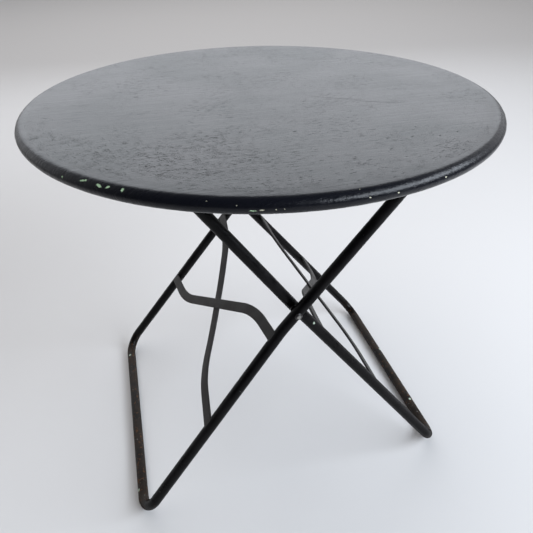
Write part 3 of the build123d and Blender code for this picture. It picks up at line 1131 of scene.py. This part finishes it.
def softened(name, node, bevel, material):
    """Copy of a CAD node with its sharp edges rounded."""
    source = frame["nodes"][node]
    work = bmesh.new()
    work.from_mesh(source.data)
    bmesh.ops.remove_doubles(work, verts=work.verts[:], dist=1e-6)
    bmesh.ops.dissolve_limit(work, angle_limit=math.radians(1), verts=work.verts[:], edges=work.edges[:])
    sharp = [e for e in work.edges if len(e.link_faces) == 2 and e.calc_face_angle(0) > math.radians(35)]
    bmesh.ops.bevel(
        work, geom=sharp, offset=bevel, segments=2, profile=0.5, affect="EDGES", clamp_overlap=True
    )
    bmesh.ops.triangulate(work, faces=[f for f in work.faces if len(f.verts) > 4])
    mesh = bpy.data.meshes.new(name)
    work.to_mesh(mesh)
    work.free()
    mesh.shade_smooth()
    mesh.set_sharp_from_angle(angle=math.radians(30))
    mesh.materials.clear()
    mesh.materials.append(material)
    made = placed(name, mesh)
    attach(made, source["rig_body"])
    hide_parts(node)


def build():
    """Every piece of the table."""
    wood = table_paint()
    tube = tube_paint()
    flat = flat_bar_paint()
    rivet = rivet_paint()
    steel = hardware_steel()
    top_board(wood)
    outer_tube(tube)
    inner_tube(tube)
    frames = {
        "outer": (OUTER_PLANE, OUTER_BRACES, outer_half_width),
        "inner": (INNER_PLANE, INNER_BRACES, inner_half_width),
    }
    for kind, frame_parts in frames.items():
        body = f"{kind}_frame"
        brace(f"{kind}_flat_over", frame_parts, False, flat, body, f"{kind}_brace_over")
        brace(f"{kind}_flat_under", frame_parts, True, flat, body, f"{kind}_brace_under")
    crossbar(rivet)
    for name, side in SIDES.items():
        pivot_rivet(name, side, rivet)
        hinge_pin(name, steel)
        softened(f"pivot_washer_{name}", f"{name}_pivot_spacer", 0.0004, rivet)
        softened(f"bracket_{name}", f"{name}_hinge_bracket", 0.0005, steel)
        softened(f"catch_plate_{name}", f"{name}_catch", 0.0005, steel)
    softened("bracket_screws", "hinge_bracket_screws", 0.00015, steel)
    softened("catch_plate_screws", "catch_screws", 0.00015, steel)


# ---------------------------------------------------------------- studio


FLOOR_REACH = 14.0


def floor():
    """Plain pale floor that runs on as the backdrop."""
    mesh = bpy.data.meshes.new("studio_floor")
    size = FLOOR_REACH
    outline = [(-size, -size, 0), (size, -size, 0), (size, size, 0), (-size, size, 0)]
    mesh.from_pydata(outline, [], [(0, 1, 2, 3)])
    made = placed("studio_floor", mesh)
    material = bpy.data.materials.new("studio_floor_pale")
    material.use_nodes = True
    shader = material.node_tree.nodes["Principled BSDF"]
    shader.inputs["Base Color"].default_value = (0.62, 0.61, 0.605, 1.0)
    shader.inputs["Roughness"].default_value = 0.9
    shader.inputs["Specular IOR Level"].default_value = 0.1
    mesh.materials.append(material)


def softbox(name, place, target, width, depth, power, colour, mirrored=True):
    """Soft rectangular light aimed at a target; a mirrored one shows in reflections."""
    light = bpy.data.lights.new(name, "AREA")
    light.shape = "RECTANGLE"
    light.size = width
    light.size_y = depth
    light.energy = power
    light.color = colour
    made = placed(name, light)
    made.location = place
    made.rotation_euler = (Vector(target) - Vector(place)).to_track_quat("-Z", "Y").to_euler()
    made.visible_camera = False
    made.visible_glossy = mirrored


def ramp(tree, value, low, high, to_low, to_high):
    """Smooth step of a world value from low to high, rescaled."""
    made = tree.nodes.new("ShaderNodeMapRange")
    made.interpolation_type = "SMOOTHSTEP"
    tree.links.new(value, made.inputs["Value"])
    made.inputs["From Min"].default_value = low
    made.inputs["From Max"].default_value = high
    made.inputs["To Min"].default_value = to_low
    made.inputs["To Max"].default_value = to_high
    return made.outputs[0]


def surroundings():
    """Pale light low behind the table, dim overhead and in front of it."""
    world = bpy.data.worlds.new("studio_world")
    bpy.context.scene.world = world
    world.use_nodes = True
    tree = world.node_tree
    background = tree.nodes["Background"]
    coords = tree.nodes.new("ShaderNodeTexCoord")
    split = tree.nodes.new("ShaderNodeSeparateXYZ")
    tree.links.new(coords.outputs["Generated"], split.inputs[0])
    behind = ramp(tree, split.outputs[1], -0.40, 0.70, 0.05, 0.90)
    overhead = ramp(tree, split.outputs[2], 0.52, 0.86, 1.0, 0.25)
    strength = tree.nodes.new("ShaderNodeMath")
    strength.operation = "MULTIPLY"
    tree.links.new(behind, strength.inputs[0])
    tree.links.new(overhead, strength.inputs[1])
    background.inputs["Color"].default_value = (0.94, 0.955, 0.99, 1.0)
    tree.links.new(strength.outputs[0], background.inputs["Strength"])


# Camera: place, heading left of +Y, tilt down and roll in radians, focal length in mm
CAMERA_PLACE = (-0.22742, -0.92724, 0.99742)
CAMERA_YAW = -0.2462
CAMERA_PITCH = 0.58467
CAMERA_ROLL = -0.01666
CAMERA_LENS = 37.30


def camera():
    """Camera at the photograph's place and angle."""
    yaw, pitch, roll = CAMERA_YAW, CAMERA_PITCH, CAMERA_ROLL
    forward = Vector((-math.sin(yaw) * math.cos(pitch), math.cos(yaw) * math.cos(pitch), -math.sin(pitch)))
    right = Vector((math.cos(yaw), math.sin(yaw), 0))
    up = right.cross(forward)
    across_view = math.cos(roll) * right + math.sin(roll) * up
    up_view = math.cos(roll) * up - math.sin(roll) * right
    data = bpy.data.cameras.new("camera")
    data.lens = CAMERA_LENS
    data.sensor_width = 36.0
    made = placed("camera", data)
    turn = Matrix((across_view, up_view, -forward)).transposed().to_4x4()
    made.matrix_world = Matrix.Translation(CAMERA_PLACE) @ turn
    bpy.context.scene.camera = made


def studio():
    """Floor, surroundings and softboxes."""
    floor()
    surroundings()
    softbox("softbox_behind", (0.3, 2.6, 2.0), (0, 0, 0.72), 4.6, 1.7, 36.0, (0.88, 0.93, 1.0))
    softbox("softbox_window", (2.05, -1.75, 2.05), (0.1, -0.2, 0.70), 3.5, 1.1, 150.0, (0.84, 0.91, 1.0))
    softbox("softbox_floor", (-0.8, 0.6, 3.2), (-0.2, 0.3, 0), 3.0, 3.0, 30.0, (1.0, 0.97, 0.95), False)
    softbox("softbox_backdrop", (1.0, 5.0, 4.0), (1.0, 5.0, 0), 8.0, 5.0, 140.0, (1.0, 0.98, 0.98), False)
    bpy.context.scene.view_settings.view_transform = "Standard"


build()
studio()
camera()


def corners(box):
    """A box's corners as plain lists."""
    return [[float(v) for v in corner] for corner in box]
